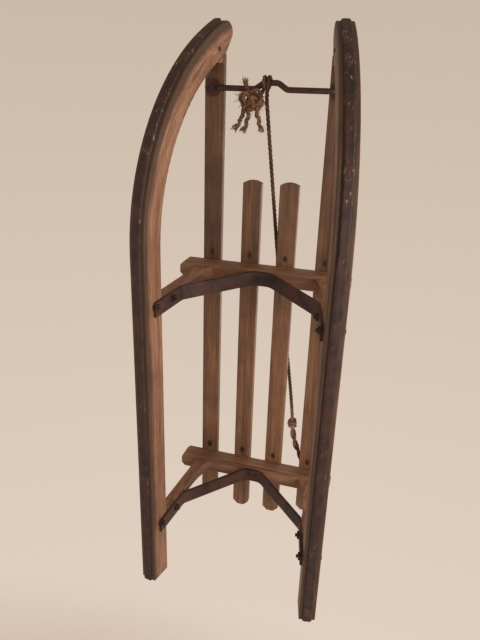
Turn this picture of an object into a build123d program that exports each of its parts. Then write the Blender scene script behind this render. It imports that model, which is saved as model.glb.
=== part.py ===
"""Slatted wooden sled on two bowed, iron-shod runners, with its pull rope.

The sled stands as it is used: the runners' soles lie on z = 0, +Z is up, the bowed
front is towards -Y.  Lengths are in millimetres.  "Right" is +X, the right-hand side
of someone who faces the bow; everything on the left is its mirror image.
"""
import os
from math import asin, cos, degrees, pi, radians, sin, tan

from build123d import *

os.makedirs("parts", exist_ok=True)

# ---------------------------------------------------------------- driving sizes
# overall: the long places are given back from the nose or ahead of the tail
sled_length = 1006.0            # foremost iron of the bow to the tail of the runners
bow_length = 353.0              # how much of that is bow, off the ground
front_beam_setback = 406.0      # nose to the front cross beam's front face
rear_beam_ahead = 174.0         # rear cross beam's front face to the tail
pull_bar_setback = 106.0        # nose to the pull bar's centre line
seat_underside_z = 218.0        # slats lie on this level: beam tops and runner ledges

# runners and their iron shoes
runner_width = 30.0
runner_depth = 42.0             # height of the wood along the straight
runner_lean = 13.5              # degrees the runners lean in towards the seat
runner_foot_x = 144.0           # inner face of the runner, where the lean starts
bow_outer_radius = 385.0        # underside of the shoe round the bow
bow_inner_radius = 332.0        # top side of the wood round the bow
nose_rise = 24.0                # top of the nose above the end of the bow
nose_length = 17.0              # flat of the nose, measured back from its front
tip_back_drop = 32.0            # fall of the tip's back down to the seat
tip_back_run = 46.0
ledge_setback = 53.0            # nose to the shoulder that the slat's front butts
ledge_depth = 15.0              # wood behind the shoulder, down to the bow's top side
nose_front = (0.17, 0.72)       # the nose's foremost point, as shares of length and rise
shoe_width = 17.0
shoe_thickness = 4.5
shoe_edge_radius = 3.2          # its running side is nearly half-round
shoe_end_flat = 0.6             # its round front end is this much blunter than a half circle
sole_wear = 1.2                 # iron worn flat by the ground
wood_edge_radius = 2.0

# cross beams
beam_length = 315.0
beam_width = 30.0               # along the sled
beam_height = 34.0
beam_corner_cut = 8.0           # corners cut off the beam's ends

# legs
leg_thickness = 20.0            # along the sled
leg_setback = 5.0               # leg's front face behind the beam's front face
leg_top_inner_x = 94.0
leg_top_outer_x = 123.0
leg_foot_width = 20.0           # how much of the runner's top the foot covers
leg_hollow_x = 110.5            # deepest point of the hollowed inner edge
leg_hollow_z = 152.0
leg_hollow_end_z = 100.0        # the inner edge is flush with the runner below this
front_leg_rake = 18.0           # foot stands this far behind the leg's top
rear_leg_rake = 30.0
tenon_shoulder = 3.0            # leg's thickness beyond each side of its tenons
top_tenon_width = 16.0
top_tenon_length = 20.0
foot_tenon_width = 12.0
foot_tenon_length = 27.0
peg_diameter = 6.0
foot_peg_lift = 7.0             # foot peg above the middle of its tenon

# seat slats
slat_thickness = 13.0
slat_width = 34.0
outer_slat_x = 106.3            # centre lines
middle_slat_x = 33.5
outer_slat_tail_ahead = 66.0    # slat's tail end to the runners' tail
middle_slat_setback = 256.0     # nose to the middle slats' front
middle_slat_tail_ahead = 46.0
slat_end_bulge = 5.0            # rounded front end of the middle slats
slat_corner_cut = 10.0
slat_edge_radius = 1.5
slat_joint_gap = 0.5            # between a slat's front end and the ledge's shoulder

# nails
nail_diameter = 3.0
nail_head_diameter = 7.0
nail_head_height = 1.2
beam_nail_length = 24.0         # into the beam
through_nail_offset = 14.0      # second nail, just ahead of the beam
through_nail_point = 1.5        # its point shows below the slat
ledge_nail_setback = 8.0        # behind the ledge's shoulder
shoe_nail_diameter = 4.0
shoe_nail_head_diameter = 8.0
shoe_nail_head_height = 2.0
shoe_nail_sunk = 0.6            # head below the iron's face
shoe_nail_length = 24.0
shoe_nail_pitch = 140.0
shoe_nail_end_margin = 35.0
shoe_nail_bow_angles = (14.0, 34.0, 52.0, 63.0)
nose_nail_setback = 47.0        # nose to the nail in the runner's inner face, by the ledge
nose_nail_height = 214.0        # up the runner's side
nose_nail_length = 20.0

# iron braces under the beams
brace_width = 25.0
brace_thickness = 5.0
brace_setback = 4.0             # behind the beam's front face
brace_flat = 34.0               # flat under the beam
brace_bend_z = 94.0             # where the arm meets the leg
brace_end_z = 20.0
brace_bend_radius = 9.0         # inside of the bends at the legs
brace_crown_radius = 21.0       # inside of the bends under the beam
brace_bolt_heights = (25.0, 72.0)   # up the runner's side: runner, leg
beam_screw_pitch = 12.0
beam_screw_diameter = 4.0
beam_screw_length = 24.0
beam_screw_head = (7.0, 1.5)    # diameter and height

# bolts with square nuts
bolt_diameter = 6.0
bolt_head_diameter = 14.0
bolt_head_height = 3.5
nut_width = 10.0
nut_height = 4.0
bolt_tail = 3.5                 # thread beyond the nut

# iron pull bar
bar_diameter = 9.5
bar_pad_diameter = 27.0
bar_pad_thickness = 5.0
bar_pad_x = 108.0
bar_pad_lap = 2.0               # the bar runs this far onto its pads
bar_hump_x = -6.0
bar_hump_half_width = 27.0
bar_hump_half_top = 12.0
bar_hump_rise = 10.0
bar_bend_radius = 12.0

# pull rope
rope_diameter = 7.0
rope_start = (-12.0, 18.0, -20.0)   # x, behind the bar, above the seat's top
rope_over_beam = (15.5, -10.0, 6.0)     # x, behind the front beam's face, above the seat
rope_tail = [                   # x, behind the rear beam's front face, above the seat
    (52.0, -207.0, 5.5),
    (66.0, -115.0, -0.5),
    (70.0, -67.0, -1.5),
    (80.0, -31.0, 3.5),
    (96.0, 1.0, 6.0),
    (105.8, 34.2, 4.2),
]
front_knot_low = (-56.0, 6.0, -22.0)    # x, behind the bar, above the slats' underside
front_knot_high = (-13.0, 37.0, -1.0)
front_knot_round = 8.0
front_neck_rise = 4.0           # its neck to the bar starts this far above its base
front_neck_room = 1.0           # between the neck and the bar
wrap_x = (-17.0, -9.5)          # turns of the rope round the bar's hump
wrap_overlap = 3.0              # neck beyond the outer turns
tail_knot_length = 30.0
tail_knot_diameter = 16.0
tail_knot_corner = 3            # on the run after this point of the route
tail_knot_place = 0.45          # share of that run
tail_knot_flat = 2.5            # radius left on its ends
hitch_setback = 39.0            # rear beam's front face to the first turn of the hitch
hitch_turns = 2
soft_gap = 0.3                  # between the rope and what it lies on

# ------------------------------------------------------------- worked-out values
tail_y = sled_length / 2
nose_y = -sled_length / 2
bow_start_y = nose_y + bow_length
front_beam_y = nose_y + front_beam_setback
pull_bar_y = nose_y + pull_bar_setback
ledge_shoulder_y = nose_y + ledge_setback
middle_slat_front_y = nose_y + middle_slat_setback
rear_beam_y = tail_y - rear_beam_ahead
outer_slat_tail_y = tail_y - outer_slat_tail_ahead
middle_slat_tail_y = tail_y - middle_slat_tail_ahead
hitch_y = rear_beam_y + hitch_setback
bow_sweep = degrees(asin((tail_y + bow_start_y) / bow_outer_radius))
slat_top_z = seat_underside_z + slat_thickness
beam_underside_z = seat_underside_z - beam_height
lean_tan = tan(radians(runner_lean))
lean_cos = cos(radians(runner_lean))
lean_sin = sin(radians(runner_lean))
shoe_margin = (runner_width - shoe_width) / 2
foot_z = -(shoe_margin * lean_sin + sole_wear)
runner_top_s = shoe_thickness + runner_depth
runner_frame = Location((runner_foot_x, 0, foot_z), (0, -runner_lean, 0))
far = 1000.0                    # larger than any piece


def save(name, shape):
    """Write one piece, or one group of like pieces, to its STEP file."""
    export_step(shape, f"parts/{name}.step")
    print(f"{name}: {len(shape.solids())} solid(s)")


def other_side(shape):
    return mirror(shape, about=Plane.YZ)


def inner_face_x(z):
    """The runner's inner face, carried on up the leg."""
    return runner_foot_x - (z - foot_z) * lean_tan


def box_between(low, high):
    size = [b - a for a, b in zip(low, high)]
    centre = [(a + b) / 2 for a, b in zip(low, high)]
    return Pos(*centre) * Box(*size)


def rod_along_x(y, z, start, end, diameter):
    return Pos((start + end) / 2, y, z) * Rot(0, 90, 0) * Cylinder(diameter / 2, end - start)


def raked(shape, y_front, thickness, top_z, rake, drop):
    """Keep the slice of a shape that falls back by rake over a drop, below top_z."""
    slope = rake / drop
    top = top_z + far
    bottom = top_z - far
    outline = [
        Vector(-far, y_front, top),
        Vector(-far, y_front + thickness, top),
        Vector(-far, y_front + thickness, top_z),
        Vector(-far, y_front + far * slope + thickness, bottom),
        Vector(-far, y_front + far * slope, bottom),
        Vector(-far, y_front, top_z),
    ]
    return shape & extrude(Face(Wire.make_polygon(outline)), amount=2 * far, dir=(1, 0, 0))


# ------------------------------------------------------------------- runners
def bow_point(radius, centre_s, angle):
    """A point of a bow of this radius, as (y, s) in the runner's own plane."""
    a = radians(angle)
    return bow_start_y - radius * sin(a), centre_s - radius * cos(a)


def side_arc(radius, centre_s, angle):
    """The bow's arc from the straight to this angle, in the runner's plane."""
    start, middle, end = (bow_point(radius, centre_s, a) for a in (0, angle / 2, angle))
    return ThreePointArc(*[Vector(0, y, s) for y, s in (start, middle, end)])


def side_line(a, b):
    return Line(Vector(0, *a), Vector(0, *b))


def side_solid(edges, width):
    face = Face(Wire(edges))
    return extrude(face, amount=width, dir=(1, 0, 0))


def nose_points():
    """End of the bow, foremost point and top of the nose."""
    wood_radius = bow_outer_radius - shoe_thickness
    y, s = bow_point(wood_radius, bow_outer_radius, bow_sweep)
    top = (y + nose_length, s + nose_rise)
    front = (y + nose_front[0] * nose_length, s + nose_front[1] * nose_rise)
    return (y, s), front, top


def make_runner():
    wood_radius = bow_outer_radius - shoe_thickness
    inner_centre_s = runner_top_s + bow_inner_radius
    inner_end_y = ledge_shoulder_y + ledge_depth
    inner_sweep = degrees(asin((bow_start_y - inner_end_y) / bow_inner_radius))
    inner_end = bow_point(bow_inner_radius, inner_centre_s, inner_sweep)
    bow_end, foremost, nose_top = nose_points()
    back_low = (nose_top[0] + tip_back_run, nose_top[1] - tip_back_drop)
    edges = [
        side_line((tail_y, shoe_thickness), (bow_start_y, shoe_thickness)),
        side_arc(wood_radius, bow_outer_radius, bow_sweep),
        ThreePointArc(*[Vector(0, *p) for p in (bow_end, foremost, nose_top)]),
        side_line(nose_top, back_low),
        side_line(back_low, inner_end),
        side_arc(bow_inner_radius, inner_centre_s, inner_sweep),
        side_line((bow_start_y, runner_top_s), (tail_y, runner_top_s)),
        side_line((tail_y, runner_top_s), (tail_y, shoe_thickness)),
    ]
    runner = side_solid(edges, runner_width)
    long_edges = [e for e in runner.edges() if abs(e.tangent_at(0.5).X) < 0.01]
    long_edges = [e for e in long_edges if e.length > 200]
    runner = fillet(long_edges, wood_edge_radius)
    runner = runner.moved(runner_frame)
    ledge = box_between((0, ledge_shoulder_y, seat_underside_z), (far, 0, far))
    return runner - ledge


def make_shoe():
    start = (tail_y, 0.0)
    outer_end = bow_point(bow_outer_radius, bow_outer_radius, bow_sweep)
    bow_end = nose_points()[0]
    edges = [
        side_line(start, (bow_start_y, 0.0)),
        side_arc(bow_outer_radius, bow_outer_radius, bow_sweep),
        side_line(outer_end, bow_end),
        side_arc(bow_outer_radius - shoe_thickness, bow_outer_radius, bow_sweep),
        side_line((bow_start_y, shoe_thickness), (tail_y, shoe_thickness)),
        side_line((tail_y, shoe_thickness), start),
    ]
    shoe = side_solid(edges, shoe_width)
    outer_edges = [e for e in shoe.edges() if e.length > 200 and outside_the_wood(e)]
    shoe = fillet(outer_edges, shoe_edge_radius) - shoe_end_corners()
    shoe = Pos(shoe_margin, 0, 0) * shoe
    ground = box_between((-far, -far, -far), (far, far, 0))
    return shoe.moved(runner_frame) - ground


def shoe_end_corners():
    """What is cut off the shoe's front end to leave it round."""
    y, s = bow_point(bow_outer_radius, bow_outer_radius, bow_sweep)
    half = shoe_width / 2
    height = 4 * shoe_thickness
    block = box_between((-half, -half, -height), (3 * half, half, height))
    block = block - Pos(half, half, 0) * Cylinder(half + shoe_end_flat, 3 * height)
    return Pos(0, y, s) * Rot(-bow_sweep, 0, 0) * block


def outside_the_wood(edge):
    """True for the shoe's two running edges that face the snow."""
    p = edge.position_at(0.5)
    if abs(edge.tangent_at(0.5).X) > 0.01:
        return False
    if p.Y > bow_start_y:
        return p.Z < shoe_thickness / 2
    reach = Vector(0, p.Y - bow_start_y, p.Z - bow_outer_radius).length
    return reach > bow_outer_radius - shoe_thickness / 2


def countersunk_nail(length):
    """A nail along -Z, with its flat head's top at the origin, pointing down."""
    shank = Pos(0, 0, -length / 2) * Cylinder(shoe_nail_diameter / 2, length)
    cone = Pos(0, 0, -shoe_nail_head_height / 2) * Cone(
        shoe_nail_diameter / 2, shoe_nail_head_diameter / 2, shoe_nail_head_height)
    return shank + cone


def make_shoe_nails():
    """Nails through one shoe into its runner: each is driven up from the sole."""
    nails = []
    nail = Rot(180, 0, 0) * countersunk_nail(shoe_nail_length)
    middle = runner_width / 2
    y = tail_y - shoe_nail_end_margin
    while y > bow_start_y + shoe_nail_end_margin / 2:
        nails.append((Pos(middle, y, shoe_nail_sunk) * nail).moved(runner_frame))
        y -= shoe_nail_pitch
    for angle in shoe_nail_bow_angles:
        y, s = bow_point(bow_outer_radius - shoe_nail_sunk, bow_outer_radius, angle)
        turned = Pos(middle, y, s) * Rot(-angle, 0, 0) * nail
        nails.append(turned.moved(runner_frame))
    return nails


def make_nose_nail():
    """A nail across the nose, driven from the runner's inner face just below the ledge."""
    y = nose_y + nose_nail_setback
    shank = rod_along_x(y, nose_nail_height, 0, nose_nail_length, nail_diameter)
    head = rod_along_x(y, nose_nail_height, -nail_head_height, 0, nail_head_diameter)
    return (shank + head).moved(runner_frame)


# --------------------------------------------------------------------- legs
def foot_point(n):
    """A point of the runner's top side, n across from its inner face, as (x, z)."""
    x = runner_foot_x + n * lean_cos - runner_top_s * lean_sin
    z = foot_z + n * lean_sin + runner_top_s * lean_cos
    return x, z


def leg_drop():
    return beam_underside_z - foot_point(leg_foot_width / 2)[1]


def make_leg(beam_y, rake):
    """One right-hand leg, with a tenon up into the beam and one down into the runner."""
    front_y = beam_y + leg_setback
    low_z = -far / 10           # well below the runner, which the leg is then cut to
    outer_low = foot_point(leg_foot_width)
    slope = (outer_low[0] - leg_top_outer_x) / (beam_underside_z - outer_low[1])
    outer_end = (leg_top_outer_x + slope * (beam_underside_z - low_z), low_z)
    hollow = ThreePointArc(
        Vector(leg_top_inner_x, -far / 2, beam_underside_z),
        Vector(leg_hollow_x, -far / 2, leg_hollow_z),
        Vector(inner_face_x(leg_hollow_end_z), -far / 2, leg_hollow_end_z))
    corners = [
        (inner_face_x(leg_hollow_end_z), leg_hollow_end_z),
        (inner_face_x(low_z), low_z),
        outer_end,
        (leg_top_outer_x, beam_underside_z),
        (leg_top_inner_x, beam_underside_z),
    ]
    sides = [Line(Vector(a[0], -far / 2, a[1]), Vector(b[0], -far / 2, b[1]))
             for a, b in zip(corners, corners[1:])]
    leg = extrude(Face(Wire([hollow] + sides)), amount=far, dir=(0, 1, 0))
    leg = raked(leg, front_y, leg_thickness, beam_underside_z, rake, leg_drop())
    under_runner_top = box_between((-far, -far, -far), (far, far, runner_top_s))
    leg = leg - under_runner_top.moved(runner_frame)
    return leg + top_tenon(beam_y) + foot_tenon(beam_y, rake)


def top_tenon(beam_y):
    middle_x = (leg_top_inner_x + leg_top_outer_x) / 2
    front_y = beam_y + leg_setback + tenon_shoulder
    return box_between(
        (middle_x - top_tenon_width / 2, front_y, beam_underside_z),
        (middle_x + top_tenon_width / 2, front_y + leg_thickness - 2 * tenon_shoulder,
         beam_underside_z + top_tenon_length))


def foot_tenon(beam_y, rake):
    front_y = beam_y + leg_setback + rake + tenon_shoulder
    middle_n = leg_foot_width / 2
    tenon = box_between(
        (middle_n - foot_tenon_width / 2, front_y, runner_top_s - foot_tenon_length),
        (middle_n + foot_tenon_width / 2, front_y + leg_thickness - 2 * tenon_shoulder,
         runner_top_s))
    return tenon.moved(runner_frame)


def leg_middle_y(beam_y, rake, height):
    """The middle of the leg's thickness at this height up the runner's side."""
    fall = rake * (beam_underside_z - foot_z - height * lean_cos) / leg_drop()
    return beam_y + leg_setback + min(fall, rake) + leg_thickness / 2


def make_pegs(beam_y, rake):
    """Wooden pegs that lock one leg: along the sled at the top, across it at the foot."""
    middle_x = (leg_top_inner_x + leg_top_outer_x) / 2
    top_z = beam_underside_z + top_tenon_length / 2
    top = Pos(middle_x, beam_y + beam_width / 2, top_z) * Rot(90, 0, 0)
    top_peg = top * Cylinder(peg_diameter / 2, beam_width)
    foot_y = beam_y + leg_setback + rake + leg_thickness / 2
    foot_s = runner_top_s - foot_tenon_length / 2
    foot_n = runner_width / 2 + brace_thickness / 2
    length = runner_width - brace_thickness
    foot_peg = rod_along_x(foot_y, foot_s + foot_peg_lift, foot_n - length / 2, foot_n + length / 2,
                           peg_diameter)
    return [top_peg, foot_peg.moved(runner_frame)]


# -------------------------------------------------------------------- beams
def make_beam(beam_y):
    beam = box_between(
        (-beam_length / 2, beam_y, beam_underside_z),
        (beam_length / 2, beam_y + beam_width, seat_underside_z))
    corners = beam.edges().filter_by(Axis.Z)
    beam = chamfer(corners, beam_corner_cut)
    long_edges = beam.edges().filter_by(Axis.X)
    return fillet(long_edges, wood_edge_radius)


# -------------------------------------------------------------------- slats
def make_slat(x, front_y, end_y, front_bulge):
    """A seat slat: rounded or square in front, with its tail corners cut off."""
    low_x = x - slat_width / 2
    high_x = x + slat_width / 2
    z = seat_underside_z
    tail = [(high_x, front_y + front_bulge), (high_x, end_y - slat_corner_cut),
            (high_x - slat_corner_cut, end_y), (low_x + slat_corner_cut, end_y),
            (low_x, end_y - slat_corner_cut), (low_x, front_y + front_bulge)]
    edges = [Line(Vector(*a, z), Vector(*b, z)) for a, b in zip(tail, tail[1:])]
    if front_bulge > 0:
        front = ThreePointArc(Vector(*tail[-1], z), Vector(x, front_y, z), Vector(*tail[0], z))
    else:
        front = Line(Vector(*tail[-1], z), Vector(*tail[0], z))
    slat = extrude(Face(Wire(edges + [front])), amount=slat_thickness, dir=(0, 0, 1))
    long_edges = [e for e in slat.edges().filter_by(Axis.Y) if e.length > 100]
    return fillet(long_edges, slat_edge_radius)


def nail_down(x, y, length):
    """A flat-headed nail driven down, with its head flush in the seat's top."""
    shank = Pos(x, y, slat_top_z - length / 2) * Cylinder(nail_diameter / 2, length)
    head = Pos(x, y, slat_top_z - nail_head_height / 2) * Cylinder(
        nail_head_diameter / 2, nail_head_height)
    return shank + head


def nails_of_slat(x):
    nails = []
    for beam_y in (front_beam_y, rear_beam_y):
        nails.append(nail_down(x, beam_y + beam_width / 2, beam_nail_length))
        nails.append(nail_down(x, beam_y - through_nail_offset,
                               slat_thickness + through_nail_point))
    return nails


# ------------------------------------------------------------ braces and bolts
def offset_outline(points, distance):
    """The same open outline, moved sideways (to the right of its direction)."""
    lines = []
    for (x0, z0), (x1, z1) in zip(points, points[1:]):
        length = ((x1 - x0) ** 2 + (z1 - z0) ** 2) ** 0.5
        dx, dz = (x1 - x0) / length, (z1 - z0) / length
        lines.append((x0 + dz * distance, z0 - dx * distance, dx, dz))
    result = [lines[0][:2]]
    for (ax, az, adx, adz), (bx, bz, bdx, bdz) in zip(lines, lines[1:]):
        along = ((bx - ax) * bdz - (bz - az) * bdx) / (adx * bdz - adz * bdx)
        result.append((ax + along * adx, az + along * adz))
    last_x, last_z = points[-1]
    _, _, dx, dz = lines[-1]
    result.append((last_x + dz * distance, last_z - dx * distance))
    return result


def make_brace(beam_y, rake):
    """A flat bar bent under the beam and out to both legs, raked like the legs."""
    half = [(brace_flat / 2, beam_underside_z),
            (inner_face_x(brace_bend_z), brace_bend_z),
            (inner_face_x(brace_end_z), brace_end_z)]
    outer = [(-x, z) for x, z in reversed(half)] + half
    inner = offset_outline(outer, brace_thickness)
    corners = outer + inner[::-1]
    wire = Wire.make_polygon([Vector(x, -far / 2, z) for x, z in corners])
    bar = extrude(Face(wire), amount=far, dir=(0, 1, 0))
    for places, radius in (((1, 4), brace_bend_radius), ((2, 3), brace_crown_radius)):
        for outline, extra in ((outer, brace_thickness), (inner, 0)):
            corners = [outline[i] for i in places]
            bends = [e for e in bar.edges().filter_by(Axis.Y) if is_bend(e.center(), corners)]
            bar = fillet(bends, radius + extra)
    return raked(bar, beam_y + brace_setback, brace_width, beam_underside_z, rake, leg_drop())


def is_bend(point, corners):
    return any(abs(point.X - x) < 0.1 and abs(point.Z - z) < 0.1 for x, z in corners)


def bolt_across(y, s, grip):
    """A right-hand bolt through the brace and what it clamps, and its square nut.

    The domed head is outside, at grip across from the runner's inner face; the nut
    and the thread's tail stand out inside the brace.
    """
    tail = brace_thickness + nut_height + bolt_tail
    shank = rod_along_x(y, s, -tail, grip, bolt_diameter)
    dome = Pos(grip, y, s) * Rot(0, 90, 0) * Cone(
        bolt_head_diameter / 2, bolt_head_diameter / 4, bolt_head_height,
        align=(Align.CENTER, Align.CENTER, Align.MIN))
    nut_n = -brace_thickness - nut_height / 2
    nut = Pos(nut_n, y, s) * Box(nut_height, nut_width, nut_width)
    hole = rod_along_x(y, s, -tail, grip, bolt_diameter)
    return (shank + dome).moved(runner_frame), (nut - hole).moved(runner_frame)


def leg_outer_n(s):
    """How far across the leg's outer edge is, at this height up the runner's side."""
    top_x, top_z = leg_top_outer_x, beam_underside_z
    low_x, low_z = foot_point(leg_foot_width)
    top_n = (top_x - runner_foot_x) * lean_cos + (top_z - foot_z) * lean_sin
    top_s = -(top_x - runner_foot_x) * lean_sin + (top_z - foot_z) * lean_cos
    low_s = runner_top_s
    return leg_foot_width + (top_n - leg_foot_width) * (s - low_s) / (top_s - low_s)


def make_brace_bolts(beam_y, rake):
    bolts = []
    nuts = []
    for s in brace_bolt_heights:
        if s < runner_top_s:
            y = beam_y + leg_setback + rake + leg_thickness / 2
            grip = runner_width
        else:
            y = leg_middle_y(beam_y, rake, s)
            grip = leg_outer_n(s)
        bolt, nut = bolt_across(y, s, grip)
        bolts.append(bolt)
        nuts.append(nut)
    return bolts, nuts


def make_beam_screws(beam_y):
    """Two screws up through the brace's flat into the beam."""
    screws = []
    head_diameter, head_height = beam_screw_head
    y = beam_y + brace_setback + brace_width / 2
    for side in (-1, 1):
        x = side * beam_screw_pitch / 2
        low_z = beam_underside_z - brace_thickness
        shank = Pos(x, y, low_z + beam_screw_length / 2) * Cylinder(
            beam_screw_diameter / 2, beam_screw_length)
        head = Pos(x, y, low_z - head_height / 2) * Cylinder(head_diameter / 2, head_height)
        screws.append(shank + head)
    return screws


# ------------------------------------------------------------------ pull bar
def make_pull_bar():
    """A round bar, humped for the rope, with flat round pads under the outer slats."""
    z = seat_underside_z - bar_diameter / 2 - soft_gap
    inner_x = bar_pad_x - bar_pad_diameter / 2 + bar_pad_lap
    hump_y = pull_bar_y - bar_hump_rise
    points = [
        (-inner_x, pull_bar_y, z),
        (bar_hump_x - bar_hump_half_width, pull_bar_y, z),
        (bar_hump_x - bar_hump_half_top, hump_y, z),
        (bar_hump_x + bar_hump_half_top, hump_y, z),
        (bar_hump_x + bar_hump_half_width, pull_bar_y, z),
        (inner_x, pull_bar_y, z),
    ]
    path = FilletPolyline(*points, radius=bar_bend_radius)
    start = Plane(origin=points[0], z_dir=(1, 0, 0))
    bar = sweep(start * Circle(bar_diameter / 2), path=path)
    pad_z = seat_underside_z - bar_pad_thickness / 2
    for side in (-1, 1):
        pad = Pos(side * bar_pad_x, pull_bar_y, pad_z) * Cylinder(
            bar_pad_diameter / 2, bar_pad_thickness)
        neck = Pos(side * inner_x, pull_bar_y, z) * Sphere(bar_diameter / 2)
        above = box_between((-far, -far, seat_underside_z), (far, far, far))
        bar = bar + pad + (neck - above)
    return bar


def make_bar_bolts():
    bolts = []
    nuts = []
    for side in (-1, 1):
        x = side * bar_pad_x
        low_z = seat_underside_z - bar_pad_thickness
        tail_z = low_z - nut_height - bolt_tail / 2
        shank = Pos(x, pull_bar_y, (slat_top_z + tail_z) / 2) * Cylinder(
            bolt_diameter / 2, slat_top_z - tail_z)
        head = Pos(x, pull_bar_y, slat_top_z) * Cone(
            bolt_head_diameter / 2, bolt_head_diameter / 4, bolt_head_height,
            align=(Align.CENTER, Align.CENTER, Align.MIN))
        nut = Pos(x, pull_bar_y, low_z - nut_height / 2) * Box(nut_width, nut_width, nut_height)
        bolts.append(shank + head)
        nuts.append(nut - shank)
    return bolts, nuts


# ----------------------------------------------------------------- pull rope
def corner_radii(points):
    """0.45 of the shorter run at each corner, over the tangent of half its turn."""
    radii = []
    for a, b, c in zip(points, points[1:], points[2:]):
        before = Vector(*b) - Vector(*a)
        after = Vector(*c) - Vector(*b)
        turn = before.get_angle(after)
        shorter = min(before.length, after.length)
        radii.append(0.45 * shorter / tan(radians(turn / 2)))
    return radii


def rope_route():
    """The points that the rope's runs would meet at, from the bar to the hitch."""
    x, y, z = rope_start
    route = [(x, pull_bar_y + y, slat_top_z + z)]
    x, y, z = rope_over_beam
    route.append((x, front_beam_y + y, slat_top_z + z))
    return route + [(x, rear_beam_y + y, slat_top_z + z) for x, y, z in rope_tail]


def make_rope():
    route = rope_route()
    radii = corner_radii(route)
    path = FilletPolyline(*route, radius=radii)
    direction = Vector(*route[1]) - Vector(*route[0])
    section = Plane(origin=route[0], z_dir=direction) * Circle(rope_diameter / 2)
    rope = sweep(section, path=path)
    length = sum(e.length for e in path.edges())
    expected = length * pi * rope_diameter ** 2 / 4
    print("rope radii", [round(r) for r in radii])
    print(f"rope length {length:.1f}, volume {rope.volume:.0f} of {expected:.0f}")
    return rope


def make_front_knot():
    """The knot's bulk behind the bar, with two turns of rope round the bar's hump."""
    low = Vector(*front_knot_low) + Vector(0, pull_bar_y, seat_underside_z)
    high = Vector(*front_knot_high) + Vector(0, pull_bar_y, seat_underside_z)
    bulk = fillet(box_between(low, high).edges(), front_knot_round)
    bar_y = pull_bar_y - bar_hump_rise
    bar_z = seat_underside_z - bar_diameter / 2 - soft_gap
    turn_radius = (bar_diameter + rope_diameter) / 2 + soft_gap
    neck = box_between(
        (wrap_x[0] - wrap_overlap, bar_y + bar_diameter / 2 + front_neck_room,
         low.Z + front_neck_rise),
        (wrap_x[1] + wrap_overlap, low.Y + front_knot_round, bar_z))
    knot = bulk + neck
    for x in wrap_x:
        knot = knot + Pos(x, bar_y, bar_z) * Rot(0, 90, 0) * Torus(turn_radius, rope_diameter / 2)
    return knot


def make_tail_knot():
    """An overhand knot on the rope, as a barrel round it."""
    a, b = (Vector(*p) for p in rope_route()[tail_knot_corner:tail_knot_corner + 2])
    middle = a + (b - a) * tail_knot_place
    barrel = Cylinder(tail_knot_diameter / 2, tail_knot_length)
    barrel = fillet(barrel.edges(), tail_knot_diameter / 2 - tail_knot_flat)
    barrel = barrel - Cylinder(rope_diameter / 2 + soft_gap, far)
    return Plane(origin=middle, z_dir=b - a) * barrel


def make_hitch():
    """Turns of rope round the right outer slat, just behind the rear beam."""
    turns = []
    reach = rope_diameter / 2 + soft_gap
    low_x = outer_slat_x - slat_width / 2 - reach
    high_x = outer_slat_x + slat_width / 2 + reach
    low_z = seat_underside_z - reach
    high_z = slat_top_z + reach
    for turn in range(hitch_turns):
        y = hitch_y + turn * (rope_diameter + soft_gap)
        points = [(low_x, y, low_z), (high_x, y, low_z), (high_x, y, high_z), (low_x, y, high_z)]
        path = FilletPolyline(*points, radius=reach, close=True)
        first = path.edges()[0]
        start = Plane(origin=first.position_at(0), z_dir=first.tangent_at(0))
        turns.append(sweep(start * Circle(rope_diameter / 2), path=path))
    return turns


# ---------------------------------------------------------------- build it all
def cut(shape, tools):
    for tool in tools:
        shape = shape - tool
    return shape


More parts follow.
